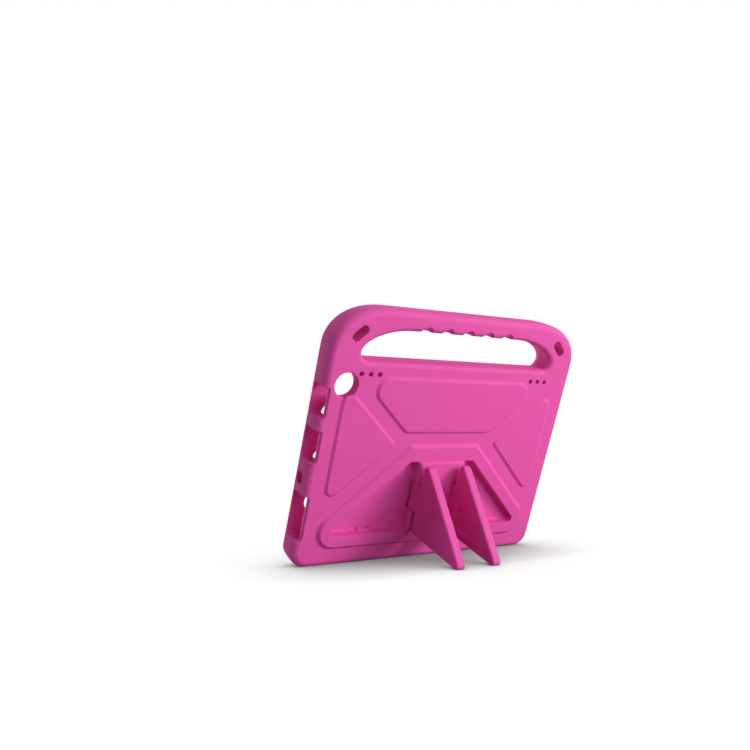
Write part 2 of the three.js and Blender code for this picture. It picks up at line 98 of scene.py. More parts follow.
@dataclass(frozen=True)
class Polygon:
    """A rounded polygon with corners (u, v, radius), counter-clockwise."""

    corners: tuple[Triple, ...]
    steps: int = 12
    smallest: float = 0.05

    def ring(self, inset: float) -> list[Pair]:
        """Walks the outline, moved inwards.

        Args:
            inset: distance that every edge moves inwards.

        Returns:
            The points, as many for every inset.
        """
        points: list[Pair] = []
        count = len(self.corners)
        for i, (u, v, radius) in enumerate(self.corners):
            before_u, before_v = self._direction(i - 1)
            after_u, after_v = self._direction(i % count)
            cross = before_u * after_v - before_v * after_u
            dot = before_u * after_u + before_v * after_v
            turn = math.atan2(cross, dot)
            side = math.copysign(1, turn)
            arc = max(radius - side * inset, self.smallest)
            shift = inset / (1 + dot)
            reach = arc * math.tan(abs(turn) / 2)
            start_u = u - (before_v + after_v) * shift - before_u * reach
            start_v = v + (before_u + after_u) * shift - before_v * reach
            radial_u = before_v * arc * side
            radial_v = -before_u * arc * side
            for k in range(self.steps + 1):
                angle = turn * k / self.steps
                turned_u = radial_u * math.cos(angle) - radial_v * math.sin(angle)
                turned_v = radial_u * math.sin(angle) + radial_v * math.cos(angle)
                points.append((start_u - radial_u + turned_u, start_v - radial_v + turned_v))
        return points

    @classmethod
    def box(cls, u: Pair, v: Pair, radii: Pair, steps: int = 12) -> Polygon:
        """Makes a rectangle.

        Args:
            u: left and right edge.
            v: low and high edge.
            radii: radius of the two left corners, and of the two right ones.
            steps: segments in each corner.

        Returns:
            The outline.
        """
        return cls(((u[0], v[0], radii[0]), (u[1], v[0], radii[1]),
                    (u[1], v[1], radii[1]), (u[0], v[1], radii[0])), steps)

    @classmethod
    def trapezoid(cls, low: Triple, high: Triple, steps: int = 12) -> Polygon:
        """Makes an outline that is the same left and right, with level edges.

        Args:
            low: half width, height and corner radius of the lower edge.
            high: half width, height and corner radius of the upper edge.
            steps: segments in each corner.

        Returns:
            The outline.
        """
        (u0, *below), (u1, *above) = low, high
        return cls(((-u0, *below), (u0, *below), (u1, *above), (-u1, *above)), steps)

    def mirrored(self) -> Polygon:
        """The same outline on the other side of u = 0."""
        return Polygon(tuple((-u, v, r) for u, v, r in reversed(self.corners)), self.steps)

    def _direction(self, index: int) -> Pair:
        """Finds the direction of the edge that leaves a corner.

        Args:
            index: the corner.

        Returns:
            The direction, one unit long.
        """
        u0, v0, _ = self.corners[index]
        u1, v1, _ = self.corners[(index + 1) % len(self.corners)]
        length = math.hypot(u1 - u0, v1 - v0)
        return (u1 - u0) / length, (v1 - v0) / length


@dataclass(frozen=True)
class Shoulder:
    """A superellipse corner with half axes a and b."""

    a: float
    b: float
    power: float = 2.0
    steps: int = 14

    def arc(self, inset: float) -> list[Pair]:
        """Points from the side (a, 0) to the crown (0, b), moved inwards.

        Args:
            inset: distance that the curve moves inwards.

        Returns:
            The points of the quarter curve.
        """
        points = []
        for k in range(self.steps + 1):
            c = max(math.cos(QUARTER * k / self.steps), 0.0)
            s = max(math.sin(QUARTER * k / self.steps), 0.0)
            u = self.a * c ** (2 / self.power)
            v = self.b * s ** (2 / self.power)
            normal_u = c ** (2 - 2 / self.power) / self.a
            normal_v = s ** (2 - 2 / self.power) / self.b
            length = math.hypot(normal_u, normal_v)
            points.append((u - inset * normal_u / length, v - inset * normal_v / length))
        return points


@dataclass(frozen=True)
class Arch:
    """An outline that is the same left and right, with unlike corners below and above."""

    half_width: float
    bottom: float
    top: float
    low: Shoulder
    high: Shoulder

    def ring(self, inset: float) -> list[Pair]:
        """Walks the outline, moved inwards.

        Args:
            inset: distance that every edge moves inwards.

        Returns:
            The points, as many for every inset.
        """
        right = [
            (self.half_width - self.low.a + u, self.bottom + self.low.b - v)
            for u, v in reversed(self.low.arc(inset))
        ]
        right += [
            (self.half_width - self.high.a + u, self.top - self.high.b + v)
            for u, v in self.high.arc(inset)
        ]
        return right + [(-u, v) for u, v in reversed(right)]


@dataclass(frozen=True)
class Circle:
    """A round outline."""

    u: float
    v: float
    radius: float
    steps: int = 48

    def ring(self, inset: float) -> list[Pair]:
        """Walks the circle, moved inwards.

        Args:
            inset: distance that the circle moves inwards.

        Returns:
            The points, as many for every inset.
        """
        radius = self.radius - inset
        angles = [math.tau * k / self.steps for k in range(self.steps)]
        return [(self.u + radius * math.cos(a), self.v + radius * math.sin(a)) for a in angles]


@dataclass(frozen=True)
class Line:
    """All points (u, v) whose distance along a slanted normal is the offset."""

    normal_u: float
    normal_v: float
    offset: float

    def moved(self, distance: float) -> Line:
        """The parallel line at a distance along the normal."""
        return Line(self.normal_u, self.normal_v, self.offset + distance)

    def u_at(self, v: float) -> float:
        """Where the line crosses a height."""
        return (self.offset - self.normal_v * v) / self.normal_u

    def v_at(self, u: float) -> float:
        """Where the line crosses an upright."""
        return (self.offset - self.normal_u * u) / self.normal_v

    def meet(self, other: Line) -> Pair:
        """Finds where two lines cross.

        Args:
            other: the second line, which isn't parallel.

        Returns:
            The point (u, v).
        """
        det = self.normal_u * other.normal_v - self.normal_v * other.normal_u
        return (
            (self.offset * other.normal_v - other.offset * self.normal_v) / det,
            (other.offset * self.normal_u - self.offset * other.normal_u) / det,
        )


Outline = Polygon | Arch | Circle


def on_back(u: float, v: float, y: float) -> Triple:
    """Puts an outline's (u, v) on the back face, at depth y."""
    return u, y, v


def on_side(u: float, v: float, x: float) -> Triple:
    """Puts an outline's (u, v) on the side wall, at distance x."""
    return x, u, v


def on_top(u: float, v: float, z: float) -> Triple:
    """Puts an outline's (u, v) on a level plane, at height z."""
    return u, v, z


def rounded(points: Sequence[Triple], steps: int = 6) -> list[Pair]:
    """Rounds the inner corners of a profile.

    Args:
        points: (inset, height, radius) in order. The ends have no radius.
        steps: segments in each rounded corner.

    Returns:
        The (inset, height) pairs of the smooth profile.
    """
    pairs: list[Pair] = [points[0][:2]]
    for (x0, y0, _), (x1, y1, radius), (x2, y2, _) in zip(points, points[1:], points[2:]):
        before = Vector((x1 - x0, y1 - y0)).normalized()
        after = Vector((x2 - x1, y2 - y1)).normalized()
        turn = math.atan2(before.x * after.y - before.y * after.x, before.dot(after))
        if radius == 0 or abs(turn) < 1e-6:
            pairs.append((x1, y1))
            continue
        side = math.copysign(1, turn)
        start = Vector((x1, y1)) - before * radius * math.tan(abs(turn) / 2)
        radial = Vector((before.y, -before.x)) * radius * side
        centre = start - radial
        for k in range(steps + 1):
            pairs.append(tuple(centre + Matrix.Rotation(turn * k / steps, 2) @ radial))
    pairs.append(points[-1][:2])
    return pairs


def quarter(wide: float, deep: float, steps: int) -> list[Pair]:
    """Elliptical quarter from a face to a wall, as (inset, depth below the face) pairs."""
    angles = [QUARTER * k / steps for k in range(steps + 1)]
    return [(wide * (1 - math.sin(a)), deep * (1 - math.cos(a))) for a in angles]


def mouth(rim: float, steps: int) -> list[Pair]:
    """Rounded rim of an opening in a face at 0, as (inset, height) pairs going in."""
    return [(-inset, -depth) for inset, depth in quarter(rim, rim, steps)]


def through(thickness: float, rim: float, steps: int = 6) -> list[Pair]:
    """Profile of a hole through a plate at y = 0, with both rims rounded.

    Args:
        thickness: distance between the plate's two faces.
        rim: radius of each rim.
        steps: segments in each rim.

    Returns:
        The (inset, height) pairs, from the back to the front.
    """
    back = mouth(rim, steps)
    front = [(inset, -thickness - height) for inset, height in reversed(back)]
    return [(-rim, SPILL), *back, *front, (-rim, -thickness - SPILL)]


def rod(low: float, high: float, wide: float, deep: float, steps: int) -> list[Pair]:
    """Profile of a rod or plate with both ends rounded.

    Args:
        low: height of its lower end.
        high: height of its upper end.
        wide: width of the rounding.
        deep: depth of the rounding.
        steps: segments in each end.

    Returns:
        The (inset, height) pairs, from low to high.
    """
    end = quarter(wide, deep, steps)
    return [(i, low + d) for i, d in end] + [(i, high - d) for i, d in reversed(end)]


# Solids


def add_object(name: str, data: bpy.types.ID) -> bpy.types.Object:
    """Makes an object around its data and links it to the scene.

    Args:
        name: name of the object.
        data: a mesh, light or camera.

    Returns:
        The object.
    """
    item = bpy.data.objects.new(name, data)
    bpy.context.scene.collection.objects.link(item)
    return item


def solid(name: str, bm: bmesh.types.BMesh) -> bpy.types.Object:
    """Makes an object from a closed bmesh, with its faces pointing out.

    Args:
        name: name of the object and its mesh.
        bm: the mesh, which is freed.

    Returns:
        The object, linked to the scene.
    """
    bmesh.ops.recalc_face_normals(bm, faces=bm.faces)
    mesh = bpy.data.meshes.new(name)
    bm.to_mesh(mesh)
    bm.free()
    return add_object(name, mesh)


def loft(name: str, outline: Outline, profile: Sequence[Pair], place: Place) -> bpy.types.Object:
    """Sweeps an outline through a profile and closes both ends.

    Args:
        name: name of the tool.
        outline: anything with a ring method.
        profile: (inset, height) pairs, one for each ring.
        place: turns (u, v, height) into a point.

    Returns:
        The closed solid.
    """
    bm = bmesh.new()
    rings = [
        [bm.verts.new(place(u, v, height)) for u, v in outline.ring(inset)]
        for inset, height in profile
    ]
    for low, high in zip(rings, rings[1:]):
        for i in range(len(low)):
            j = (i + 1) % len(low)
            bm.faces.new((low[i], low[j], high[j], high[i]))
    bm.faces.new(reversed(rings[0]))
    bm.faces.new(rings[-1])
    return solid(name, bm)


def discard(item: bpy.types.Object) -> None:
    """Removes an object and its mesh.

    Args:
        item: a mesh object that nothing needs any more.
    """
    mesh = item.data
    bpy.data.objects.remove(item)
    bpy.data.meshes.remove(mesh)


def settle(item: bpy.types.Object) -> bpy.types.Object:
    """Applies the object's modifiers to its mesh.

    Args:
        item: a mesh object.

    Returns:
        The same object, with a plain mesh and no modifier.
    """
    graph = bpy.context.evaluated_depsgraph_get()
    mesh = bpy.data.meshes.new_from_object(item.evaluated_get(graph))
    old = item.data
    item.modifiers.clear()
    item.data = mesh
    mesh.name = item.name
    bpy.data.meshes.remove(old)
    return item


def combine(item: bpy.types.Object, tool: bpy.types.Object, join: Join) -> bpy.types.Object:
    """Joins a tool to a solid, or cuts it from it, and removes the tool.

    Args:
        item: the solid to change.
        tool: the other solid.
        join: what to do with it.

    Returns:
        The changed solid.
    """
    modifier = item.modifiers.new("join", "BOOLEAN")
    modifier.operation = join.value
    modifier.solver = "MANIFOLD"
    modifier.object = tool
    settle(item)
    discard(tool)
    return item


@dataclass(frozen=True)
class Placement:
    """Leans case coordinates, in millimetres, back into the shared frame, in metres."""

    lean: float
    offset: Vector

    @classmethod
    def of_joint(cls, joint: dict, pivot: Triple) -> Placement:
        """Reads the lean from a hinge whose place in the case is known.

        Args:
            joint: the frame's record of the hinge.
            pivot: the hinge's place in the case frame, in millimetres.

        Returns:
            The placement.
        """
        _, axis_y, axis_z = joint["axis"]
        lean = math.atan2(axis_y, axis_z)
        turned = Matrix.Rotation(-lean, 3, "X") @ Vector(pivot)
        return cls(lean, Vector(joint["pos_m"]) - turned * MM)

    @property
    def matrix(self) -> Matrix:
        """The whole transform."""
        turn = Matrix.Rotation(-self.lean, 4, "X")
        return Matrix.Translation(self.offset) @ turn @ Matrix.Scale(MM, 4)


def finish_mesh(
    item: bpy.types.Object,
    crease: float = math.radians(24),
    merge: float = 0.004,
    area_weight: int = 100,
) -> bpy.types.Object:
    """Smooths the shading between edges and weighs the normals by face area.

    Args:
        item: the moulded piece.
        crease: edges that turn more than this stay sharp.
        merge: points closer than this become one.
        area_weight: how much a large face counts, of 100.

    Returns:
        The same object.
    """
    bm = bmesh.new()
    bm.from_mesh(item.data)
    bmesh.ops.remove_doubles(bm, verts=bm.verts, dist=merge)
    bmesh.ops.dissolve_degenerate(bm, edges=bm.edges, dist=merge)
    bm.to_mesh(item.data)
    bm.free()
    item.data.shade_smooth()
    item.data.set_sharp_from_angle(angle=crease)
    weighted = item.modifiers.new("normals", "WEIGHTED_NORMAL")
    weighted.keep_sharp = True
    weighted.weight = area_weight
    return settle(item)


# Rows of tools


@dataclass(frozen=True)
class RowMaker:
    """A node tree that repeats one tool along a straight row, about its middle."""

    tree: bpy.types.NodeTree

    @classmethod
    def build(cls) -> RowMaker:
        """Builds the tree once, with named inputs.

        The row starts half its length before its middle.

        Returns:
            The maker.
        """
        tree = bpy.data.node_groups.new("row of tools", "GeometryNodeTree")
        for name, kind in (
            ("Tool", "NodeSocketObject"),
            ("Count", "NodeSocketInt"),
            ("Step", "NodeSocketVector"),
            ("Finish", "NodeSocketMaterial"),
        ):
            tree.interface.new_socket(name, in_out="INPUT", socket_type=kind)
        tree.interface.new_socket("Row", in_out="OUTPUT", socket_type="NodeSocketGeometry")

        def node(kind: str) -> bpy.types.Node:
            """Adds one node."""
            return tree.nodes.new(kind)

        inputs = node("NodeGroupInput")
        output = node("NodeGroupOutput")
        spaces = node("ShaderNodeMath")
        spaces.operation = "MULTIPLY_ADD"
        spaces.inputs[1].default_value = -0.5
        spaces.inputs[2].default_value = 0.5
        start = node("ShaderNodeVectorMath")
        start.operation = "SCALE"
        line = node("GeometryNodeMeshLine")
        line.mode = "OFFSET"
        tool = node("GeometryNodeObjectInfo")
        place = node("GeometryNodeInstanceOnPoints")
        realize = node("GeometryNodeRealizeInstances")
        paint = node("GeometryNodeSetMaterial")
        for source, result, target, entry in (
            (inputs, "Count", spaces, 0),
            (inputs, "Step", start, 0),
            (spaces, 0, start, "Scale"),
            (inputs, "Count", line, "Count"),
            (start, 0, line, "Start Location"),
            (inputs, "Step", line, "Offset"),
            (inputs, "Tool", tool, "Object"),
            (line, "Mesh", place, "Points"),
            (tool, "Geometry", place, "Instance"),
            (place, "Instances", realize, "Geometry"),
            (realize, "Geometry", paint, "Geometry"),
            (inputs, "Finish", paint, "Material"),
            (paint, "Geometry", output, "Row"),
        ):
            tree.links.new(source.outputs[result], target.inputs[entry])
        return cls(tree)

    def row(
        self,
        name: str,
        tool: bpy.types.Object,
        count: int,
        step: Triple,
        finish: bpy.types.Material | None = None,
    ) -> bpy.types.Object:
        """Repeats a tool and removes the single one.

        Args:
            name: name of the row.
            tool: the solid to repeat, drawn at the row's middle.
            count: how many.
            step: from one to the next.
            finish: material of every copy.

        Returns:
            The row as one plain mesh object.
        """
        item = add_object(name, bpy.data.meshes.new(name))
        modifier = item.modifiers.new("row", "NODES")
        modifier.node_group = self.tree
        values = {"Tool": tool, "Count": count, "Step": step, "Finish": finish}
        for socket in self.tree.interface.items_tree:
            if socket.name in values and values[socket.name] is not None:
                modifier[socket.identifier] = values[socket.name]
        settle(item)
        discard(tool)
        return item


# Sub-assemblies of the case


@dataclass(frozen=True)
class Bay:
    """The pocket for the device and the walls around it."""

    width: float = 202.6
    height: float = 137.6
    depth: float = 10.0
    corner: float = 7.0
    side_wall: float = 8.7
    bottom_wall: float = 7.9
    back_wall: float = 7.2
    lip: float = 4.2
    lip_side: float = 4.15
    lip_end: float = 5.1
    floor_round: float = 0.9
    screen_corner: float = 2.7
    bevel_width: float = 4.1
    bevel_depth: float = 1.8
    bevel_flare: float = 2.0
    bevel_skim: float = 0.002
    notch_base: float = 27.1
    notch_top: float = 20.1
    notch_height: float = 1.6
    notch_corner: float = 0.5
    scallop_count: int = 3
    scallop_width: float = 9.5
    scallop_depth: float = 1.9
    scallop_pitch: float = 33.2
    edge: float = 0.45

    @property
    def half(self) -> float:
        """Half the width of the case."""
        return self.width / 2 + self.side_wall

    @property
    def top(self) -> float:
        """Height of the bay's upper wall."""
        return self.bottom_wall + self.height

    @property
    def floor(self) -> float:
        """Depth of the bay's front end, behind the lip."""
        return self.back_wall + self.depth

    @property
    def thickness(self) -> float:
        """Thickness of the case."""
        return self.floor + self.lip

    @property
    def screen(self) -> tuple[float, float, float]:
        """Half width, bottom and top of the screen opening."""
        half_width = self.width / 2 - self.lip_side
        return half_width, self.bottom_wall + self.lip_end, self.top - self.lip_end

    def tools(self, rows: RowMaker) -> Iterable[bpy.types.Object]:
        """Makes the pocket, the screen opening, its notch and the scallops in the lip.

        Args:
            rows: makes the row of scallops.

        Yields:
            The tools to cut from the shell.
        """
        corner = Shoulder(self.corner, self.corner)
        pocket = Arch(self.width / 2, self.bottom_wall, self.top, corner, corner)
        walls = [
            (1.5 * self.floor_round, -self.back_wall, 0),
            (0, -self.back_wall, self.floor_round),
            (0, -self.floor, 0),
        ]
        yield loft("pocket", pocket, rounded(walls), on_back)

        half_width, bottom, top = self.screen
        front, flare = -self.thickness, -self.bevel_width - self.bevel_flare
        bevel = rounded([
            (0, SPILL - self.floor, 0),
            (0, self.bevel_depth + front, self.edge),
            (-self.bevel_width, front, self.edge),
            (flare, front - self.bevel_skim, 0),
            (flare, front - SPILL, 0),
        ])
        small = Shoulder(self.screen_corner, self.screen_corner)
        yield loft("screen", Arch(half_width, bottom, top, small, small), bevel, on_back)
        base, crown = self.notch_base / 2, self.notch_top / 2
        notch = Polygon((
            (-base, top - self.corner, SHARP),
            (base, top - self.corner, SHARP),
            (base, top, SHARP),
            (crown, top + self.notch_height, self.notch_corner),
            (-crown, top + self.notch_height, self.notch_corner),
            (-base, top, SHARP),
        ), steps=4)
        yield loft("notch", notch, bevel, on_back)

        chord = self.scallop_width / 2
        radius = (chord**2 + self.scallop_depth**2) / (2 * self.scallop_depth)
        middle = Circle(half_width + self.scallop_depth - radius, (bottom + top) / 2, radius, 96)
        ends = [(0, SPILL - self.floor), (0, front - SPILL)]
        tool = loft("scallop", middle, ends, on_back)
        yield rows.row("scallops", tool, self.scallop_count, (0, 0, self.scallop_pitch))


@dataclass(frozen=True)
class CarryHandle:
    """The bar over the bay, its arched opening and the finger grooves under it."""

    bay: Bay
    band: float = 7.3
    opening_height: float = 22.0
    bar_height: float = 14.2
    half_width: float = 85.8
    flat_half_width: float = 49.0
    end_radius: float = 5.5
    arch_power: float = 1.8
    rim: float = 4.0
    front_rim_wide: float = 5.0
    front_rim_deep: float = 9.0
    groove_count: int = 5
    groove_pitch: float = 18.4
    groove_width: float = 10.5
    groove_rise: float = 4.5
    groove_depth: float = 1.3

    @property
    def bottom(self) -> float:
        """Height of the opening's lower wall."""
        return self.bay.top + self.band

    @property
    def top(self) -> float:
        """Height of the opening's upper wall."""
        return self.bottom + self.opening_height

    @property
    def crown(self) -> float:
        """Height of the whole case."""
        return self.top + self.bar_height

    def opening(self, growth: float) -> bpy.types.Object:
        """Makes the tool for the opening.

        Args:
            growth: how far its whole surface moves into the foam.

        Returns:
            The tool, with its rims rounded into both faces.
        """
        end = Shoulder(self.end_radius, self.end_radius)
        reach = self.half_width - self.flat_half_width
        arch = Shoulder(reach, self.opening_height - self.end_radius, self.arch_power, 26)
        outline = Arch(self.half_width, self.bottom, self.top, end, arch)

        def face_to_wall(wide: float, deep: float) -> list[Pair]:
            """Rounds one rim.

            Args:
                wide: how far the rim reaches out along the face.
                deep: how far it reaches down the wall.

            Returns:
                The (inset, depth below the face) pairs.
            """
            rim = [
                (-inset - growth, depth + growth)
                for inset, depth in quarter(wide - growth, deep - growth, 10)
            ]
            flare = -wide - self.groove_rise
            return [(flare, -SPILL), (flare, growth), *rim] if growth else [(-wide, -SPILL), *rim]

        back = [(inset, -depth) for inset, depth in face_to_wall(self.rim, self.rim)]
        front = [
            (inset, depth - self.bay.thickness)
            for inset, depth in reversed(face_to_wall(self.front_rim_wide, self.front_rim_deep))
        ]
        return loft("opening", outline, back + front, on_back)

    def grooves(self, rows: RowMaker) -> bpy.types.Object:
        """Makes the row of half-moons under the bar, a skin deep.

        Args:
            rows: repeats one half-moon.

        Returns:
            The tool.
        """
        chord = self.groove_width / 2
        radius = (chord**2 + self.groove_rise**2) / (2 * self.groove_rise)
        moon = Circle(0, self.top + self.groove_rise - radius, radius, 72)
        ends = [(0, 2 * SPILL), (0, -self.bay.thickness - 2 * SPILL)]
        tool = loft("moon", moon, ends, on_back)
        row = rows.row("grooves", tool, self.groove_count, (self.groove_pitch, 0, 0))
        return combine(row, self.opening(self.groove_depth), Join.KEEP)

    def tools(self, rows: RowMaker) -> Iterable[bpy.types.Object]:
        """The tools to cut from the shell."""
        yield self.opening(0)
        yield self.grooves(rows)


@dataclass(frozen=True)
class LegSizes:
    """Sizes of one folding leg. It lies with y away from its hinge and z along it."""

    thickness: float = 7.4
    reach: float = 70.9
    slope_angle: float = math.radians(42.4)
    foot_corner: float = 2.9
    top_corner: float = 3.0
    root_reach: float = 7.8
    root_lean: float = 1.3
    root_corner: float = 1.5
    edge_round: float = 1.5
    hinge_x: float = 16.05
    hinge_depth: float = 1.0
    pin_radius: float = 1.0
    pin_clearance: float = 0.3
    pin_seat: float = 9.0
    knuckle_bottom: float = 41.9
    knuckle_top: float = 63.1
    knuckle_gap: float = 0.4
    foot_flat: float = 0.25
    bottom: float = 26.1

    @property
    def half(self) -> float:
        """Half the leg's thickness."""
        return self.thickness / 2

    @property
    def root(self) -> float:
        """Distance from the hinge to the root beside the knuckle."""
        return self.root_reach + self.root_lean

    @property
    def slope(self) -> Line:
        """The long slanted edge, from the hinge axis."""
        normal_u, normal_v = math.sin(self.slope_angle), math.cos(self.slope_angle)
        return Line(normal_u, normal_v, normal_u * self.reach + normal_v * self.bottom)

    def pivot(self, side: Side) -> Triple:
        """The hinge's middle in the case frame."""
        middle = (self.knuckle_bottom + self.knuckle_top) / 2
        return side.value * self.hinge_x, -self.hinge_depth, middle


@dataclass(frozen=True)
class LegStation:
    """The hub between the legs, and the recess that each leg folds into."""

    leg: LegSizes
    hub_half_width: float = 20.6
    hub_rise: float = 4.1
    hub_bevel: float = 1.3
    hub_fillet: float = 0.7
    hub_corner: float = 2.4
    bottom: float = 24.7
    height: float = 55.2
    slope_clearance: float = 0.6
    gap: float = 0.35
    corner: float = 3.4
    rim: float = 0.35
    floor_fillet: float = 0.9
    room_corner: float = 0.4
    detent_x: float = 54.5
    detent_length: float = 9.6
    detent_radius: float = 0.9
    detent_height: float = 1.5
    detent_dome: float = 0.98
    dimple_radius: float = 0.8
    dimple_rise: float = 1.3
    dimple_depth: float = 1.6

    @property
    def top(self) -> float:
        """Height of the recess's upper wall."""
        return self.bottom + self.height

    @property
    def floor(self) -> float:
        """Depth of the recess."""
        return self.leg.hinge_depth + self.leg.half + self.gap

    @property
    def slope(self) -> Line:
        """The slanted wall of the right recess."""
        leg = self.leg
        return leg.slope.moved(leg.slope.normal_u * leg.hinge_x + self.slope_clearance)

    def recess(self, side: Side, rise: float) -> bpy.types.Object:
        """Makes the tool for one recess.

        Args:
            side: which one.
            rise: height of the face that it is sunk into.

        Returns:
            The tool.
        """
        outline = Polygon((
            (self.hub_half_width, self.bottom, self.corner),
            (self.slope.u_at(self.bottom), self.bottom, self.corner),
            (self.slope.u_at(self.top), self.top, self.hub_corner),
            (self.hub_half_width, self.top, self.hub_corner),
        ))
        low = -self.floor
        profile = [(-self.rim, rise + SPILL)]
        profile += [(inset, rise + height) for inset, height in mouth(self.rim, 5)]
        profile += rounded([(0, 0, 0), (0, low, self.floor_fillet), (self.corner, low, 0)])[1:-1]
        placed = outline if side is Side.RIGHT else outline.mirrored()
        return loft("recess", placed, profile, on_back)

    def detent(self, side: Side) -> bpy.types.Object:
        """Makes the ridge that grips the folded leg, with round ends.

        Args:
            side: which recess.

        Returns:
            The ridge to add to the shell.
        """
        radius = self.detent_radius
        half = self.detent_length / 2
        middle = side.value * self.detent_x
        ridge = Circle(self.detent_height - self.floor, self.bottom, radius, 28)
        ends = rod(middle - half, middle + half, radius * self.detent_dome, radius, 6)
        return loft("detent", ridge, ends, on_side)

    def dimples(self, side: Side, rows: RowMaker) -> bpy.types.Object:
        """Makes the two pin marks at the ends of the ridge.

        Args:
            side: which recess.
            rows: repeats the mark.

        Returns:
            The tool.
        """
        centre = Circle(side.value * self.detent_x, self.bottom + self.dimple_rise,
                        self.dimple_radius, 20)
        depth = [(0, SPILL - self.floor), (0, -self.floor - self.dimple_depth)]
        tool = loft("dimple", centre, depth, on_back)
        return rows.row("dimples", tool, 2, (self.detent_length, 0, 0))

    def hub(self) -> bpy.types.Object:
        """Makes the block between the recesses.

        Returns:
            The block to add to the shell.
        """
        outline = Polygon.trapezoid(
            (self.hub_half_width, self.bottom, self.hub_corner),
            (self.hub_half_width, self.top, self.hub_corner),
        )
        profile = rounded([
            (0, -SPILL, 0),
            (0, self.hub_rise - self.hub_bevel, self.hub_fillet),
            (self.hub_bevel, self.hub_rise, self.hub_fillet),
            (2 * self.hub_bevel, self.hub_rise, 0),
        ])
        return loft("hub", outline, [(0, -self.floor - SPILL), *profile[:-1]], on_back)

    def knuckle_room(self, side: Side) -> Iterable[bpy.types.Object]:
        """Makes the room for a leg's knuckle and the bore for its pin.

        Args:
            side: which hinge.

        Yields:
            The tools to cut from the shell.
        """
        leg = self.leg
        inner = leg.hinge_x - leg.half - self.gap
        outer = self.hub_half_width + self.corner
        low, high = sorted((side.value * inner, side.value * outer))
        room = Polygon.box(
            (-self.floor, self.hub_rise + SPILL),
            (leg.knuckle_bottom, leg.knuckle_top),
            (self.room_corner, SHARP), steps=4)
        yield loft("knuckle_room", room, [(0, low), (0, high)], on_side)
        reach = leg.pin_seat + leg.pin_clearance
        bore = Circle(side.value * leg.hinge_x, -leg.hinge_depth,
                      leg.pin_radius + leg.pin_clearance, 28)
        ends = [(0, leg.knuckle_bottom - reach), (0, leg.knuckle_top + reach)]
        yield loft("bore", bore, ends, on_top)


@dataclass(frozen=True)
class BackPanel:
    """The raised frame around the leg station, and the three raised fields."""

    bay: Bay
    handle: CarryHandle
    station: LegStation
    frame_band: float = 10.9
    frame_crown: float = 13.0
    frame_rise: float = 2.2
    frame_slope: float = 2.5
    frame_corner: float = 3.0
    channel: float = 9.4
    crown_gap: float = 8.1
    field_rise: float = 1.4
    field_slope: float = 2.0
    flank_angle: float = math.radians(41)
    top_foot: float = 38.7
    top_margin: float = 10.1
    top_foot_corner: float = 8.0
    top_corner: float = 10.2
    side_margin: float = 14.6
    side_corner: float = 6.2
    side_inner_corner: float = 3.2
    foot_fillet: float = 1.1
    crest_fillet: float = 0.35
    skirt_width: float = 4.0
    skirt_drop: float = 0.03
    skirt_depth: float = 1.5

    def raised(self, name: str, outline: Polygon, rise: float, slope: float) -> bpy.types.Object:
        """Makes one raised field with soft foot and crest.

        Its skirt runs on just under the back face, so that the two never share a plane.

        Args:
            name: name of the tool.
            outline: the foot of the field.
            rise: height of its face.
            slope: width of its sloping edge.

        Returns:
            The tool to add to the shell.
        """
        skirt = -self.skirt_width
        profile = rounded([
            (skirt, -self.skirt_drop, 0),
            (0, HAIR, self.foot_fillet),
            (slope, rise, self.crest_fillet),
            (slope + self.skirt_width, rise, 0),
        ], steps=7)
        return loft(name, outline, [(skirt, -self.skirt_depth), *profile[:-1]], on_back)

    def fields(self) -> Iterable[bpy.types.Object]:
        """Makes every raised field.

        Yields:
            The tools to add to the shell.
        """
        station = self.station
        outer = station.slope.moved(self.frame_band)
        low, high = station.bottom - self.frame_band, station.top + self.frame_crown
        corner = station.corner + self.frame_band
        yield self.raised("frame", Polygon.trapezoid(
            (outer.u_at(low), low, corner),
            (outer.u_at(high), high, self.frame_corner),
            steps=18), self.frame_rise, self.frame_slope)

        foot = high + self.crown_gap
        crown = self.handle.bottom - self.top_margin
        normal_u, normal_v = math.sin(self.flank_angle), -math.cos(self.flank_angle)
        flank = Line(normal_u, normal_v, normal_u * self.top_foot + normal_v * foot)
        yield self.raised("top_field", Polygon.trapezoid(
            (self.top_foot, foot, self.top_foot_corner),
            (flank.u_at(crown), crown, self.top_corner),
            steps=16), self.field_rise, self.field_slope)

        below, above = outer.moved(self.channel), flank.moved(self.channel)
        edge = self.bay.half - self.side_margin
        side_field = Polygon((
            (*below.meet(above), self.side_inner_corner),
            (edge, below.v_at(edge), self.side_corner),
            (edge, above.v_at(edge), self.side_corner),
        ), steps=16)
        for outline in (side_field, side_field.mirrored()):
            yield self.raised("side_field", outline, self.field_rise, self.field_slope)


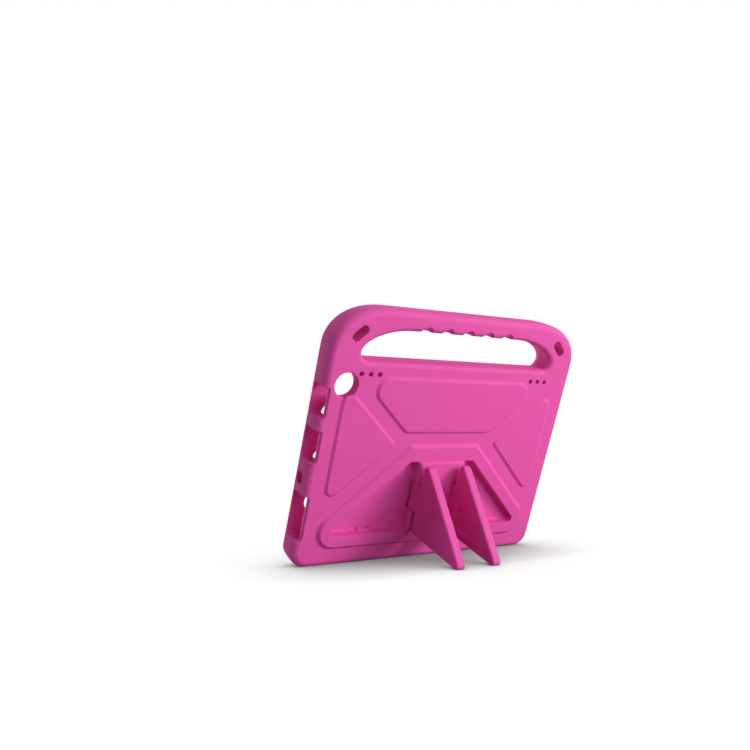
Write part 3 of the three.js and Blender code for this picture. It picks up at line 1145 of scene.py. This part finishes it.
@dataclass(frozen=True)
class BackHoles:
    """The lens hole, the sound holes and the two lanyard slots."""

    bay: Bay
    handle: CarryHandle
    lens_x: float = 93.5
    lens_drop: float = 10.3
    lens_radius: float = 8.85
    lens_rim: float = 0.9
    sound_count: int = 3
    sound_first: float = 69.2
    sound_pitch: float = 7.25
    sound_drop: float = 1.9
    sound_radius: float = 1.75
    sound_rim: float = 0.3
    slot_x: float = 90.5
    slot_drop: float = 18.1
    slot_length: float = 13.2
    slot_width: float = 6.2
    slot_rim: float = 0.9

    def drill(self, name: str, centre: Circle, rim: float) -> bpy.types.Object:
        """Makes a round tool through the back wall, with its outer rim rounded."""
        profile = [(-rim, SPILL), *mouth(rim, 6), (0, -self.bay.back_wall - SPILL)]
        return loft(name, centre, profile, on_back)

    def slot(self, side: Side) -> bpy.types.Object:
        """Makes the slanted slot in one shoulder.

        Args:
            side: which shoulder.

        Returns:
            The tool.
        """
        along = Vector((-side.value, 1)).normalized() * self.slot_length / 2
        across = Vector((along.y, -along.x)).normalized() * self.slot_width / 2
        centre = Vector((side.value * self.slot_x, self.handle.crown - self.slot_drop))
        radius = self.slot_width / 2 - HAIR
        outline = Polygon(tuple(
            (*(centre + along * end + across * flank), radius)
            for end, flank in ((-1, -1), (-1, 1), (1, 1), (1, -1))
        ), steps=9)
        return loft("slot", outline, through(self.bay.thickness, self.slot_rim), on_back)

    def tools(self, rows: RowMaker) -> Iterable[bpy.types.Object]:
        """Makes every hole.

        Args:
            rows: repeats the sound holes.

        Yields:
            The tools to cut from the shell.
        """
        lens = Circle(self.lens_x, self.bay.top - self.lens_drop, self.lens_radius, 72)
        yield self.drill("lens_hole", lens, self.lens_rim)
        middle = self.sound_first + self.sound_pitch * (self.sound_count - 1) / 2
        for side in Side:
            centre = Circle(
                side.value * middle, self.bay.top - self.sound_drop, self.sound_radius, 28)
            tool = self.drill("sound_hole", centre, self.sound_rim)
            yield rows.row("sound_holes", tool, self.sound_count, (self.sound_pitch, 0, 0))
            yield self.slot(side)


@dataclass(frozen=True)
class SideHoles:
    """The three cut-outs and the round hole in the right wall, as heights above the edge."""

    bay: Bay
    cutouts: tuple[Pair, ...] = ((111.5, 21.6), (79.3, 23.3), (21.3, 33.6))
    back_depth: float = 3.8
    span: float = 11.8
    corner: float = 2.4
    edge_margin: float = 5.0
    rim: float = 0.5
    hole_height: float = 65.2
    hole_depth: float = 11.2
    hole_radius: float = 4.4

    def tools(self) -> Iterable[bpy.types.Object]:
        """Makes every hole.

        Yields:
            The tools to cut from the shell.
        """
        half = self.bay.half
        rim = mouth(self.rim, 5)
        outer = [(inset, half + height) for inset, height in reversed(rim)]
        inner = half - self.bay.side_wall - 2 * SPILL
        profile = [(0, inner), *outer, (-self.rim, half + SPILL)]
        back = -self.back_depth
        for low, tall in self.cutouts:
            heights = (low, low + tall)
            window = Polygon.box(
                (back - self.span, back), heights, (self.corner, self.corner), steps=8)
            yield loft("cutout", window, profile, on_side)
            edge = Polygon.box(
                (half - self.edge_margin, half + self.corner), heights,
                (self.corner, SHARP), steps=8)
            depths = [(-self.rim, SPILL), *rim, (0, back - self.corner)]
            yield loft("cutout_edge", edge, depths, on_back)
        hole = Circle(-self.hole_depth, self.hole_height, self.hole_radius, 56)
        yield loft("round_hole", hole, profile, on_side)


@dataclass(frozen=True)
class Shell:
    """The one-piece foam moulding."""

    bay: Bay
    handle: CarryHandle
    station: LegStation
    panel: BackPanel
    holes: BackHoles
    side_holes: SideHoles
    low_corner: float = 11.7
    shoulder_width: float = 43.5
    shoulder_height: float = 31.4
    shoulder_power: float = 2.25
    back_fillet: float = 5.0
    crease_depth: float = 10.3
    draft: float = 0.4
    front_wide: float = 7.75
    front_deep: float = 5.55

    def blank(self) -> bpy.types.Object:
        """Makes the outer form, with a parting line around its walls.

        Returns:
            The closed blank.
        """
        low = Shoulder(self.low_corner, self.low_corner, steps=16)
        high = Shoulder(self.shoulder_width, self.shoulder_height, self.shoulder_power, 30)
        outline = Arch(self.bay.half, 0, self.handle.crown, low, high)
        back = [(i, -d) for i, d in quarter(self.back_fillet, self.back_fillet, 12)]
        front = [
            (self.draft + i, d - self.bay.thickness)
            for i, d in reversed(quarter(self.front_wide, self.front_deep, 14))
        ]
        return loft("shell_moulding", outline, [*back, (0, -self.crease_depth), *front], on_back)

    def build(self, rows: RowMaker) -> bpy.types.Object:
        """Adds the raised parts to the blank and cuts every opening.

        Args:
            rows: repeats the small tools.

        Returns:
            The finished solid in the case frame.
        """
        shell, station = self.blank(), self.station
        for tool in self.panel.fields():
            combine(shell, tool, Join.ADD)
        for side in Side:
            combine(shell, station.recess(side, self.panel.frame_rise), Join.CUT)
        combine(shell, station.hub(), Join.ADD)
        for side in Side:
            combine(shell, station.detent(side), Join.ADD)
            combine(shell, station.dimples(side, rows), Join.CUT)
            for tool in station.knuckle_room(side):
                combine(shell, tool, Join.CUT)
        makers = (self.bay, self.handle, self.holes)
        for tool in chain(*(maker.tools(rows) for maker in makers), self.side_holes.tools()):
            combine(shell, tool, Join.CUT)
        return shell


@dataclass(frozen=True)
class FoldingLeg:
    """One leg: a rounded plate with a knuckle, and a sunk triangle on its inner face."""

    sizes: LegSizes
    side: Side
    badge_depth: float = 1.4
    badge_slide: float = 1.3
    badge_root: float = 5.2
    badge_base: float = 6.3
    badge_slope: float = 7.8
    badge_corner: float = 2.3
    badge_fillet: float = 0.25
    badge_flare: float = 2.0
    badge_skim: float = 0.02
    knuckle_round: float = 0.4
    foot_block: float = 12.0

    def on_leg(self, u: float, v: float, x: float) -> Triple:
        """Puts the leg's own (u, v, x) in the case frame."""
        leg = self.sizes
        return self.side.value * (leg.hinge_x + x), u - leg.hinge_depth, v

    def plate(self) -> bpy.types.Object:
        """Makes the rounded plate.

        Returns:
            The plate, whose root is cut back to clear the hub.
        """
        leg = self.sizes
        outline = Polygon((
            (leg.root, leg.bottom, leg.root_corner),
            (leg.reach, leg.bottom, leg.foot_corner),
            (leg.root, leg.slope.v_at(leg.root), leg.top_corner),
            (leg.root_reach, leg.knuckle_top, leg.root_corner),
            (leg.root_reach, leg.knuckle_bottom, leg.root_corner),
        ), steps=12)
        faces = rod(-leg.half, leg.half, leg.edge_round, leg.edge_round, 8)
        return loft(f"leg_{self.side.label}_moulding", outline, faces, self.on_leg)

    def knuckle(self) -> bpy.types.Object:
        """Makes the hinge knuckle, round about the pin.

        Returns:
            The knuckle, which reaches into the plate.
        """
        leg = self.sizes
        low, high = leg.knuckle_bottom + leg.knuckle_gap, leg.knuckle_top - leg.knuckle_gap
        outline = Polygon.trapezoid(
            (leg.half, -leg.half, leg.half - HAIR), (leg.half, leg.root, 0), steps=14)
        ends = rod(low, high, self.knuckle_round, self.knuckle_round, 4)
        return loft("knuckle", outline, ends, lambda x, y, z: self.on_leg(y, z, x))

    def badge(self) -> bpy.types.Object:
        """Makes the tool for the sunk triangle.

        Returns:
            The tool, with a sloping wall.
        """
        leg = self.sizes
        root = leg.root + self.badge_root
        base = leg.bottom + self.badge_base
        slope = leg.slope.moved(-self.badge_slope)
        outline = Polygon((
            (root, base, self.badge_corner),
            (slope.u_at(base), base, self.badge_corner),
            (root, slope.v_at(root), self.badge_corner),
        ))
        face, flare = -leg.half, -self.badge_flare
        floor = face + self.badge_depth
        profile = rounded([
            (flare, face - self.badge_skim, 0),
            (0, face, self.badge_fillet),
            (self.badge_slide, floor, self.badge_fillet),
            (2 * self.badge_slide, floor, 0),
        ], steps=4)
        return loft("badge", outline, [(flare, face - SPILL), *profile[:-1]], self.on_leg)

    def build(self, lean: float) -> bpy.types.Object:
        """Joins the plate and knuckle, and cuts the bore, the triangle and the flat foot.

        Args:
            lean: angle between the case and the upright.

        Returns:
            The finished solid in the case frame.
        """
        leg = self.sizes
        item = combine(self.plate(), self.knuckle(), Join.ADD)
        x, y, _ = leg.pivot(self.side)
        bore = Circle(x, y, leg.pin_radius + leg.pin_clearance, 28)
        ends = [(0, leg.knuckle_bottom - SPILL), (0, leg.knuckle_top + SPILL)]
        combine(item, loft("bore", bore, ends, on_top), Join.CUT)
        combine(item, self.badge(), Join.CUT)
        radius = leg.foot_corner - leg.foot_flat
        foot_y = leg.reach - leg.foot_corner / math.tan(leg.slope_angle / 2) - leg.hinge_depth
        foot_z = leg.bottom + leg.foot_corner
        size = self.foot_block
        floor = Polygon.box((-size, size), (-size, 0), (SHARP, SHARP), steps=2)
        block = loft("floor_block", floor, [(0, x - size), (0, x + size)], on_side)
        block.data.transform(Matrix.Rotation(lean, 4, "X"))
        shift = (0, foot_y + math.sin(lean) * radius, foot_z - math.cos(lean) * radius)
        block.data.transform(Matrix.Translation(shift))
        return combine(item, block, Join.CUT)


@dataclass(frozen=True)
class HingePins:
    """The two steel pins, with round ends."""

    leg: LegSizes
    end_round: float = 0.3

    def build(self, rows: RowMaker, finish: bpy.types.Material) -> bpy.types.Object:
        """Makes both pins as one row.

        Args:
            rows: repeats the pin.
            finish: the steel.

        Returns:
            The pins in the case frame.
        """
        leg = self.leg
        low, high = leg.knuckle_bottom - leg.pin_seat, leg.knuckle_top + leg.pin_seat
        ends = rod(low, high, self.end_round, self.end_round, 5)
        pin = loft("pin", Circle(0, -leg.hinge_depth, leg.pin_radius, 32), ends, on_top)
        return rows.row("hinge_pins", pin, 2, (2 * leg.hinge_x, 0, 0), finish)


# Finishes


class Signal:
    """A shader value that combines with other values and numbers through operators."""

    def __init__(self, bench: Bench, socket: bpy.types.NodeSocket) -> None:
        """Wraps a socket of the bench's tree."""
        self.bench = bench
        self.socket = socket

    def _math(self, operation: str, *values: Signal | float) -> Signal:
        """Adds one Math node and returns its result."""
        return self.bench.add("ShaderNodeMath", {"operation": operation}, values)

    def __add__(self, other: Signal | float) -> Signal:
        """Sum."""
        return self._math("ADD", self, other)

    def __radd__(self, other: float) -> Signal:
        """Sum with a number on the left."""
        return self._math("ADD", other, self)

    def __sub__(self, other: Signal | float) -> Signal:
        """Difference."""
        return self._math("SUBTRACT", self, other)

    def __rsub__(self, other: float) -> Signal:
        """Difference with a number on the left."""
        return self._math("SUBTRACT", other, self)

    def __mul__(self, other: Signal | float) -> Signal:
        """Product."""
        return self._math("MULTIPLY", self, other)

    def __rmul__(self, other: float) -> Signal:
        """Product with a number on the left."""
        return self._math("MULTIPLY", other, self)

    def __pow__(self, other: Signal | float) -> Signal:
        """Power."""
        return self._math("POWER", self, other)

    def __neg__(self) -> Signal:
        """The value with its sign turned."""
        return self._math("MULTIPLY", self, -1.0)

    def sine(self) -> Signal:
        """Sine of the value."""
        return self._math("SINE", self)

    def smooth(self, low: float, high: float) -> Signal:
        """Smooth step from 0 at low to 1 at high."""
        settings = {"interpolation_type": "SMOOTHSTEP"}
        return self.bench.add("ShaderNodeMapRange", settings, (self, low, high, 0.0, 1.0))


class Bench:
    """The node tree of a material or a world, and the one way to add nodes to it."""

    def __init__(self, owner: bpy.types.Material | bpy.types.World) -> None:
        """Empties the owner's node tree.

        Args:
            owner: the material or world that the nodes belong to.
        """
        owner.use_nodes = True
        self.owner = owner
        self.tree = owner.node_tree
        self.tree.nodes.clear()

    def add(
        self,
        kind: str,
        settings: dict[str, object] | None = None,
        values: Sequence[object] | dict[str, object] = (),
        output: str | int = 0,
    ) -> Signal | None:
        """Adds a node.

        Args:
            kind: the node's type.
            settings: properties of the node, which are set first.
            values: numbers, colours or signals, in the order of the sockets or by name.
            output: which of the node's outputs to return.

        Returns:
            The chosen output, or None where the node has no output.
        """
        node = self.tree.nodes.new(kind)
        for name, value in (settings or {}).items():
            if name == "stops":
                self._set_stops(node, value)
            else:
                setattr(node, name, value)
        pairs = values.items() if isinstance(values, dict) else enumerate(values)
        for key, value in pairs:
            if isinstance(value, Signal):
                self.tree.links.new(value.socket, node.inputs[key])
            elif value is not None:
                node.inputs[key].default_value = value
        return Signal(self, node.outputs[output]) if node.outputs else None

    @staticmethod
    def _set_stops(node: bpy.types.Node, stops: Sequence[tuple[float, Sequence[float]]]) -> None:
        """Sets the stops of a colour ramp.

        Args:
            node: the ramp, which starts with two stops.
            stops: each stop's position and colour.
        """
        elements = node.color_ramp.elements
        for index, (position, colour) in enumerate(stops):
            element = elements[index] if index < len(elements) else elements.new(position)
            element.position = position
            element.color = colour

    def mix(self, share: Signal | float, low: object, high: object) -> Signal:
        """Mixes two colours.

        Args:
            share: how much of the second colour, from 0 to 1.
            low: the first colour.
            high: the second colour.

        Returns:
            The mixed colour.
        """
        node = self.tree.nodes.new("ShaderNodeMix")
        node.data_type = "RGBA"
        colours = [s for s in node.inputs if s.type == "RGBA"]
        for socket, value in ((node.inputs[0], share), (colours[0], low), (colours[1], high)):
            if isinstance(value, Signal):
                self.tree.links.new(value.socket, socket)
            else:
                socket.default_value = value
        return Signal(self, next(s for s in node.outputs if s.type == "RGBA"))

    def surface(self, shader: Signal) -> bpy.types.Material | bpy.types.World:
        """Sends a shader to the output.

        Args:
            shader: the finished shader.

        Returns:
            The owner of the tree.
        """
        kind = "World" if isinstance(self.owner, bpy.types.World) else "Material"
        self.add(f"ShaderNodeOutput{kind}", values=(shader,))
        return self.owner

    def backdrop_seen(self) -> Signal:
        """Picks the rays that show the backdrop, straight, mirrored or through glass.

        Returns:
            1 for those rays, and 0 for the rest.
        """
        camera, glossy, through_glass = (
            self.add("ShaderNodeLightPath", output=f"Is {kind} Ray")
            for kind in ("Camera", "Glossy", "Transmission")
        )
        return camera + glossy + through_glass

    def case_millimetres(self, placement: Placement) -> Signal:
        """Object coordinates turned upright with the case and scaled to millimetres.

        Args:
            placement: how the case leans.

        Returns:
            The coordinates, as a vector.
        """
        place = self.add("ShaderNodeTexCoord", output="Object")
        turn = Matrix.Rotation(placement.lean, 3, "X")
        shift = turn @ placement.offset / -MM
        scale = (1 / MM,) * 3
        return self.add("ShaderNodeMapping", values=(place, shift, (placement.lean, 0, 0), scale))


@dataclass(frozen=True)
class FoamFinish:
    """Moulded closed-cell foam: matte, finely grained, with faint slanted lines.

    The lines show on the flat faces and fade to wall_share on the walls between them. Each fade
    is a pair of distances from the back face: y for the first two, depth for the front's.
    """

    name: str = "moulded_foam"
    colour: Triple = (0.73, 0.068, 0.362)
    pale: Triple = (0.80, 0.084, 0.405)
    deep: Triple = (0.65, 0.055, 0.318)
    line_pitch: float = 1.76
    line_height: float = 0.003
    back_fade: Pair = (-2.4, -0.4)
    leg_fade: Pair = (4.4, 6.4)
    front_fade: Pair = (18.6, 20.6)
    wall_share: float = 0.2
    grain_size: float = 0.4
    grain_height: float = 0.012
    cell_size: float = 0.8
    cell_height: float = 0.008
    grain_detail: float = 3.0
    grain_gain: float = 0.6
    mottle_size: float = 38.0
    mottle_edges: Pair = (0.3, 0.7)
    base_tone: float = 0.45
    line_tone: float = 0.22
    grain_tone: float = 0.5
    mottle_tone: float = 0.1
    roughness: float = 0.76
    grain_roughness: float = 0.16
    specular: float = 0.55

    def material(self, placement: Placement) -> bpy.types.Material:
        """Builds the foam's node tree.

        Args:
            placement: how the case leans, so that the lines follow it.

        Returns:
            The material.
        """
        bench = Bench(bpy.data.materials.new(self.name))
        place = bench.case_millimetres(placement)
        x, y, z = (bench.add("ShaderNodeSeparateXYZ", values=(place,), output=i) for i in range(3))
        turns = math.tau / (self.line_pitch * math.sqrt(2))
        on_back = y.smooth(*self.back_fade) * (1 - y.smooth(*self.leg_fade))
        on_face = on_back + (-y).smooth(*self.front_fade)
        phase = x + y * (1 - on_face) + z
        rising = (phase * turns).sine() * (self.wall_share + on_face * (1 - self.wall_share))
        grain = bench.add("ShaderNodeTexNoise", values={
            "Vector": place, "Scale": 1 / self.grain_size,
            "Detail": self.grain_detail, "Roughness": self.grain_gain})
        cells = bench.add("ShaderNodeTexVoronoi", values={
            "Vector": place, "Scale": 1 / self.cell_size})
        mottle = bench.add("ShaderNodeTexNoise", values={
            "Vector": place, "Scale": 1 / self.mottle_size, "Detail": 1.0})
        height = rising * self.line_height + grain * self.grain_height + cells * self.cell_height
        normal = bench.add("ShaderNodeBump", values={
            "Strength": 1.0, "Distance": MM, "Height": height})
        spread = grain - 0.5
        tone = self.base_tone + rising * self.line_tone + spread * self.grain_tone
        tone = tone + mottle.smooth(*self.mottle_edges) * self.mottle_tone
        colour = bench.add(
            "ShaderNodeValToRGB",
            {"stops": ((0.0, (*self.deep, 1)), (0.5, (*self.colour, 1)), (1.0, (*self.pale, 1)))},
            (tone,))
        rough = self.roughness + spread * self.grain_roughness
        shader = bench.add("ShaderNodeBsdfPrincipled", values={
            "Base Color": colour, "Roughness": rough, "Normal": normal,
            "Specular IOR Level": self.specular})
        return bench.surface(shader)


@dataclass(frozen=True)
class SteelFinish:
    """Drawn steel wire, with fine lines along it."""

    name: str = "drawn_steel"
    colour: Triple = (0.56, 0.56, 0.58)
    bright: Triple = (0.66, 0.66, 0.68)
    line_width: float = 0.12
    line_height: float = 0.02
    line_strength: float = 0.4
    stretch: float = 0.02
    roughness: float = 0.26
    line_roughness: float = 0.2

    def material(self, placement: Placement) -> bpy.types.Material:
        """Builds the steel's node tree.

        Args:
            placement: how the case leans, so that the lines follow the pins.

        Returns:
            The material.
        """
        bench = Bench(bpy.data.materials.new(self.name))
        place = bench.case_millimetres(placement)
        scale = (1 / self.line_width, 1 / self.line_width, self.stretch / self.line_width)
        drawn = bench.add("ShaderNodeMapping", values=(place, (0, 0, 0), (0, 0, 0), scale))
        lines = bench.add("ShaderNodeTexNoise", values={
            "Vector": drawn, "Scale": 1.0, "Detail": 2.0})
        rough = self.roughness + lines * self.line_roughness
        normal = bench.add("ShaderNodeBump", values={
            "Strength": self.line_strength, "Distance": MM * self.line_height, "Height": lines})
        colour = bench.mix(lines, (*self.colour, 1), (*self.bright, 1))
        shader = bench.add("ShaderNodeBsdfPrincipled", values={
            "Base Color": colour, "Roughness": rough, "Normal": normal, "Metallic": 1.0})
        return bench.surface(shader)


# The studio


@dataclass(frozen=True)
class Softbox:
    """A square lamp that points at the case. Its bearing is from +y towards +x."""

    name: str
    bearing: float
    elevation: float
    power: float
    size: float = 0.5
    distance: float = 1.5

    @property
    def direction(self) -> Vector:
        """Unit direction from the case to the lamp."""
        bearing, elevation = math.radians(self.bearing), math.radians(self.elevation)
        level = math.cos(elevation)
        return Vector((math.sin(bearing) * level, math.cos(bearing) * level, math.sin(elevation)))


@dataclass(frozen=True)
class Studio:
    """A pale floor, soft lamps and the camera."""

    aim: Vector = field(default_factory=lambda: Vector((0.0, -0.01, 0.08)))
    camera_place: Vector = field(default_factory=lambda: Vector((0.35880, 0.46828, 0.09216)))
    camera_forward: Vector = field(
        default_factory=lambda: Vector((-0.5403715, -0.8380443, 0.0753685)))
    camera_roll: float = math.radians(-0.19)
    focal_pixels: float = 785.374
    image_pixels: float = 750.0
    sensor_width: float = 36.0
    clip_start: float = 0.01
    world_level: float = 0.012
    floor_size: float = 12.0
    floor_bounce: Triple = (0.28, 0.28, 0.28)
    floor_colour: Triple = (0.9, 0.9, 0.9)
    floor_glow: float = 1.1
    floor_share: float = 0.85
    floor_fade: Pair = (0.14, 0.5)
    # Reach in metres and steepness of the painted shadow that darkens the floor's glow near the
    # case.
    contact_reach: float = 0.07
    contact_power: float = 1.15
    lamps: tuple[Softbox, ...] = (
        Softbox("key_lamp", -40, 15, 15.4),
        Softbox("key_wing_lamp", -20, 0, 7.5),
        Softbox("front_lamp", 0, 15, 4.5),
        Softbox("low_side_lamp", 60, 0, 2.2),
        Softbox("wall_lamp", 112, 14, 3.0),
        Softbox("top_lamp", 0, 90, 4.2),
        Softbox("screen_side_lamp", 190, 12, 20.0, 1.0),
    )

    def build(self) -> None:
        """Makes the world, lamps, floor and camera."""
        self.world()
        for lamp in self.lamps:
            self.lamp(lamp)
        self.floor()
        self.camera()
        bpy.context.scene.view_settings.view_transform = "Standard"

    def world(self) -> None:
        """Lights evenly from all sides, and shows white to the camera and in reflections."""
        bench = Bench(bpy.data.worlds.new("studio_world"))
        strength = self.world_level + bench.backdrop_seen() * (1 - self.world_level)
        sky = bench.add("ShaderNodeBackground", values=((1, 1, 1, 1), strength))
        bpy.context.scene.world = bench.surface(sky)

    def lamp(self, lamp: Softbox) -> None:
        """Adds one lamp.

        Args:
            lamp: its size, power and direction.
        """
        light = bpy.data.lights.new(lamp.name, "AREA")
        light.size = lamp.size
        light.energy = lamp.power
        item = add_object(lamp.name, light)
        item.location = self.aim + lamp.direction * lamp.distance
        item.rotation_euler = (-lamp.direction).to_track_quat("-Z", "Y").to_euler()

    def floor(self) -> None:
        """Adds a floor that the camera sees as white paper with soft shadows.

        The rays that show it meet mostly a glow, which fades into a painted shadow where something
        stands close over the floor. The rays that carry its light to the case meet plain grey
        paper.
        """
        bm = bmesh.new()
        bmesh.ops.create_grid(bm, x_segments=2, y_segments=2, size=self.floor_size / 2)
        mesh = bpy.data.meshes.new("floor")
        bm.to_mesh(mesh)
        bm.free()
        item = add_object("floor", mesh)
        bench = Bench(bpy.data.materials.new("floor_paper"))
        place = bench.add("ShaderNodeTexCoord", output="Object")
        away = bench.add("ShaderNodeVectorMath", {"operation": "LENGTH"}, (place,), output="Value")
        seen = bench.backdrop_seen()
        share = self.floor_share + away.smooth(*self.floor_fade) * (1 - self.floor_share)
        tone = bench.mix(seen, (*self.floor_bounce, 1), (*self.floor_colour, 1))
        paper = bench.add("ShaderNodeBsdfDiffuse", values={"Color": tone})
        # Ambient occlusion darkens the floor's glow: a painted shadow under and around the case.
        painted_shadow_ao = bench.add(
            "ShaderNodeAmbientOcclusion", values={"Distance": self.contact_reach}, output="AO")
        glow = painted_shadow_ao ** self.contact_power * self.floor_glow
        white = bench.add("ShaderNodeEmission", values={"Strength": glow})
        mesh.materials.append(bench.surface(bench.add(
            "ShaderNodeMixShader", values=(seen * share, paper, white))))

    def camera(self) -> None:
        """Places the camera that took the photograph."""
        data = bpy.data.cameras.new("camera")
        data.sensor_width = self.sensor_width
        data.lens = self.focal_pixels / self.image_pixels * self.sensor_width
        data.clip_start = self.clip_start
        item = add_object("camera", data)
        turn = self.camera_forward.to_track_quat("-Z", "Y").to_matrix()
        turn = turn @ Matrix.Rotation(self.camera_roll, 3, "Z")
        item.matrix_world = Matrix.Translation(self.camera_place) @ turn.to_4x4()
        bpy.context.scene.camera = item


def dress(
    item: bpy.types.Object,
    placement: Placement,
    finish: bpy.types.Material,
    body: str,
    nodes: Sequence[str],
) -> None:
    """Places a finished piece and ties it to the frame.

    Args:
        item: the piece in the case frame.
        placement: how the case leans.
        finish: its material.
        body: the body that it moves with.
        nodes: the frame's nodes that it stands for.
    """
    finish_mesh(item)
    item.data.transform(placement.matrix)
    item.data.materials.clear()
    item.data.materials.append(finish)
    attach(item, body)
    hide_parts(*nodes)
    faces = sum(len(face.vertices) - 2 for face in item.data.polygons)
    log.info("%s: %d triangles, on %s", item.name, faces, body)


def main() -> None:
    """Builds the case, its legs and pins, and the studio."""
    logging.basicConfig(level=logging.INFO, format="%(message)s")
    leg = LegSizes()
    joints = {joint["name"]: joint for joint in frame["joints"]}
    placement = Placement.of_joint(joints["right_leg_fold"], leg.pivot(Side.RIGHT))
    foam = FoamFinish().material(placement)
    steel = SteelFinish().material(placement)
    rows = RowMaker.build()

    bay = Bay()
    handle = CarryHandle(bay)
    station = LegStation(leg)
    panel = BackPanel(bay, handle, station)
    shell = Shell(bay, handle, station, panel, BackHoles(bay, handle), SideHoles(bay))
    dress(shell.build(rows), placement, foam, "case", ["shell"])
    for side in Side:
        item = FoldingLeg(leg, side).build(placement.lean)
        dress(item, placement, foam, f"{side.label}_leg", [f"leg_{side.label}"])
    pins = HingePins(leg).build(rows, steel)
    names = [f"hinge_pin_{side.label}" for side in Side]
    dress(pins, placement, steel, "case", names)

    Studio().build()


if __name__ == "__main__":
    main()
